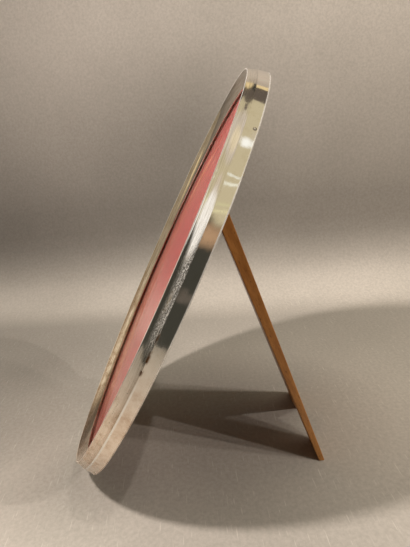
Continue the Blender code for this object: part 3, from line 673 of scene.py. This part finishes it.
def paper_material(name):
    """Pale paper with a mottle, grit, specks and, on the floor, a few light hairs. Painted light and shade scale its
    colour: it grows brighter towards the side that the frame's back faces, has a painted highlight along the fold at
    the start of the sweep, darkens up the sweep and brightens again up the backdrop. A few round places hold painted
    shadows and painted light. Heights and lengths are in metres."""
    paper, board, surface = new_material(name)
    place = board.add("ShaderNodeTexCoord").outputs["Object"]
    parts = board.add("ShaderNodeSeparateXYZ", {0: place})
    sideways, height = parts.outputs["Y"], parts.outputs["Z"]
    beyond_bend = board.maths("SUBTRACT", board.along(place, tuple(back_way)), float(np.dot(bend_start, back_way)))

    mottle = board.noise(place, 7.0, 4.0, 0.5)
    grit = board.noise(place, 900.0, 3.0, 0.6)
    speck = board.noise(place, 330.0, 3.0, 0.65)
    hair = board.noise(board.stretch(place, (60.0, 900.0, 60.0), (0.0, 0.0, 0.7)), 1.0, 2.0, 0.5)
    tone = board.blend(board.spread(mottle, 0.3, 0.7), rgb(0.462, 0.426, 0.378), rgb(0.522, 0.481, 0.429))
    tone = board.multiply(board.spread(grit, 0.35, 0.7, to_high=0.14), tone, rgb(0.75, 0.74, 0.72))
    tone = board.multiply(board.spread(speck, 0.35, 0.65, to_high=0.5), tone, rgb(0.72, 0.72, 0.70))
    light_hair = board.product(board.spread(hair, 0.64, 0.72, to_high=0.45), board.fade(height, 0.0, 0.01))
    tone = board.blend(light_hair, tone, rgb(0.72, 0.69, 0.62))

    # Painted light and shade on the paper's colour: a painted highlight along the fold, and brighter or darker across
    # and up the paper
    fold_painted_highlight = board.product(board.spread(beyond_bend, -0.02, 0.035), board.fade(beyond_bend, 0.065, 0.096, to_high=0.35),
                         board.fade(height, 0.03, 0.10))
    shade = board.product(board.spread(sideways, -0.25, 0.42, 0.80, 1.45), board.total(1.0, board.product(fold_painted_highlight, 0.40)),
                          board.fade(height, 0.012, 0.08, to_high=0.64), board.fade(height, 0.13, 0.36, to_high=2.2),
                          board.fade(height, 0.36, 0.60, to_high=1.25))
    # Painted shadows and painted light in round places on the paper
    for spot, reach, brightness in painted_shadow_and_light_places:
        shade = board.product(shade, board.spread(board.far_from(place, spot), 0.0, reach, brightness, 1.0))
    tone = board.add("ShaderNodeVectorMath", {0: tone, "Scale": shade}, operation="SCALE").outputs[0]
    board.feed(surface.inputs["Base Color"], tone)
    surface.inputs["Roughness"].default_value = 0.75
    surface.inputs["Specular IOR Level"].default_value = 0.2

    # Seen from behind, the backdrop is clear, so that it hides nothing in the other views
    from_behind = board.product(board.add("ShaderNodeNewGeometry").outputs["Backfacing"],
                                board.add("ShaderNodeLightPath").outputs["Is Camera Ray"])
    board.feed(surface.inputs["Alpha"], board.maths("SUBTRACT", 1.0, from_behind))
    return paper


stage.data.materials.append(paper_material("backdrop_paper"))

# Light
lamp_colour = (1.0, 0.91, 0.85)
lamp_aim = Vector((0.0, -0.009, 0.0))


def direction(azimuth, elevation):
    """Unit vector: azimuth from +X towards +Y, elevation from the floor."""
    a, e = math.radians(azimuth), math.radians(elevation)
    return Vector((math.cos(e) * math.cos(a), math.cos(e) * math.sin(a), math.sin(e)))


def lamp(name, azimuth, elevation, distance, size, power):
    """Round lamp that looks at the frame from a direction and distance, and that no mirror shows."""
    light = bpy.data.lights.new(name, "AREA")
    light.shape = "DISK"
    light.size = size
    light.energy = power
    light.color = lamp_colour
    thing = link(name, light)
    way = direction(azimuth, elevation)
    thing.location = lamp_aim + way * distance
    thing.rotation_euler = way.to_track_quat("Z", "Y").to_euler()
    thing.visible_glossy = False


# Azimuth and elevation in degrees, distance and size in metres, power in watts
lamp("high_lamp", 50, 63.5, 3.2, 0.05, 12.5)
lamp("near_lamp", -60.9, 61.2, 0.639, 0.045, 2.95)
lamp("far_lamp", 61.5, 35, 4.0, 0.08, 34.0)
lamp("side_lamp", 70, 28, 4.0, 0.22, 28.0)

world = bpy.data.worlds.new("room")
bpy.context.scene.world = world
world.use_nodes = True
room = Board(world.node_tree)
look = room.add("ShaderNodeTexCoord").outputs["Generated"]


def towards(aim, full, gone):
    """Share of a round patch of the room: one within the first angle of its middle, none beyond the second."""
    return room.spread(room.along(look, aim), math.cos(math.radians(gone)), math.cos(math.radians(full)))


def strip(azimuth, elevation, half_thickness):
    """Share of a thin strip of the room, nine degrees to each side of its middle and square to the way from
    there to a second direction, six degrees round and four and a half down. Its edges are soft."""
    half_length, soft_end, soft_edge = 9.0, 3.0, 1.6
    aim, onward = direction(azimuth, elevation), direction(azimuth - 6, elevation - 4.5)
    cross = (onward - aim * onward.dot(aim)).normalized()
    off = room.maths("ABSOLUTE", room.along(look, cross))
    return room.product(towards(aim, half_length, half_length + soft_end),
                        room.fade(off, math.sin(math.radians(half_thickness)),
                                  math.sin(math.radians(half_thickness * soft_edge))))


# What the silver mirrors: a lit ceiling, a dark doorway and dark walls near the level
mirrored = rgb(0.050, 0.047, 0.037)
room_patches = [
    # azimuth, elevation, full within, gone beyond (degrees), colour
    (-108, 22, 22, 40, (0.36, 0.29, 0.20)),
    (-35, 9, 2, 5, (0.26, 0.20, 0.12)),
    (-12, 3, 2, 4, (0.12, 0.10, 0.08)),
    (150, 48, 8, 10, (0.80, 0.62, 0.33)),
    (20, 70, 37, 41, (0.56, 0.48, 0.315)),
    (20, 82, 13, 18, (0.62, 0.54, 0.45)),
    (-16, 54, 6, 9, (0.64, 0.54, 0.42)),
    (133, 57, 7.3, 7.8, (0.12, 0.095, 0.075)),
    (152, 65, 7.6, 8.1, (0.12, 0.095, 0.075)),
    (141, 76, 2.4, 2.9, (0.13, 0.10, 0.08)),
    (11, 80, 5, 10, (0.80, 0.68, 0.48)),
    (-26, 33, 5, 10, (0.62, 0.54, 0.45)),
    (-22, 41, 11, 16, (1.0, 0.96, 0.91)),
    (1, 27, 1.5, 6.5, (0.46, 0.29, 0.17)),
    (62, 12, 12, 20, (0.95, 0.90, 0.80)),
    (-114, 9.5, 2, 4, (0.80, 0.63, 0.37)),
    (-114, 29, 8, 13, (0.88, 0.80, 0.64)),
    (49, 64, 1.5, 3.6, (1.0, 0.99, 0.93)),
]
room_strips = [
    # azimuth, elevation, half thickness (degrees), colour
    (22, 51.0, 0.45, (0.80, 0.78, 0.66)),
    (18, 47.5, 0.55, (0.86, 0.84, 0.70)),
    (9, 40.0, 0.3, (0.66, 0.62, 0.36)),
    (7, 37.0, 0.4, (0.80, 0.74, 0.44)),
]
for azimuth, elevation, full, gone, colour in room_patches:
    mirrored = room.blend(towards(direction(azimuth, elevation), full, gone), mirrored, rgb(*colour))
for azimuth, elevation, half_thickness, colour in room_strips:
    mirrored = room.blend(strip(azimuth, elevation, half_thickness), mirrored, rgb(*colour))

# Soft light of the same room on everything that doesn't mirror it: azimuth, elevation, colour at the middle
soft_glows = [
    (90, 55, (0.195, 0.21, 0.145)),
    (-90, 55, (0.14, 0.15, 0.10)),
    (-135, 55, (0.107, 0.115, 0.08)),
    (0, 85, (0.093, 0.10, 0.07)),
]
soft = rgb(0.0, 0.0, 0.0)
for azimuth, elevation, colour in soft_glows:
    lit = room.multiply(1.0, rgb(*colour), towards(direction(azimuth, elevation), 0.0, 45.0))
    soft = room.mix("ADD", 1.0, soft, lit)

# The camera sees a pale tone where there is no paper
path = room.add("ShaderNodeLightPath")
seen = room.blend(path.outputs["Is Camera Ray"], soft, rgb(0.40, 0.37, 0.325))
background = world.node_tree.nodes["Background"]
room.feed(background.inputs["Color"], room.blend(path.outputs["Is Glossy Ray"], seen, mirrored))
background.inputs["Strength"].default_value = 1.0

# Camera, at the photograph's view: in the plane of the strut, rolled a little; angles in radians
sensor_width = 36.0
focal_pixels, photo_height = 485.0, 547.0
camera_place = Vector((0.33194, 0.00515, 0.22846))
yaw, pitch, roll = 0.0401, 0.2846, -0.0896
camera_data = bpy.data.cameras.new("camera")
camera_data.sensor_fit = "AUTO"
camera_data.sensor_width = sensor_width
camera_data.lens = focal_pixels * sensor_width / photo_height
camera_data.clip_start = 0.01
camera = link("camera", camera_data)
ahead = Vector((-math.cos(yaw) * math.cos(pitch), math.sin(yaw) * math.cos(pitch), -math.sin(pitch)))
level = ahead.cross(Vector((0.0, 0.0, 1.0))).normalized()
upright = level.cross(ahead)
right = level * math.cos(roll) + upright * math.sin(roll)
up = -level * math.sin(roll) + upright * math.cos(roll)
camera.matrix_world = Matrix.Translation(camera_place) @ Matrix((right, up, -ahead)).transposed().to_4x4()
bpy.context.scene.camera = camera
bpy.context.scene.view_settings.view_transform = "Standard"
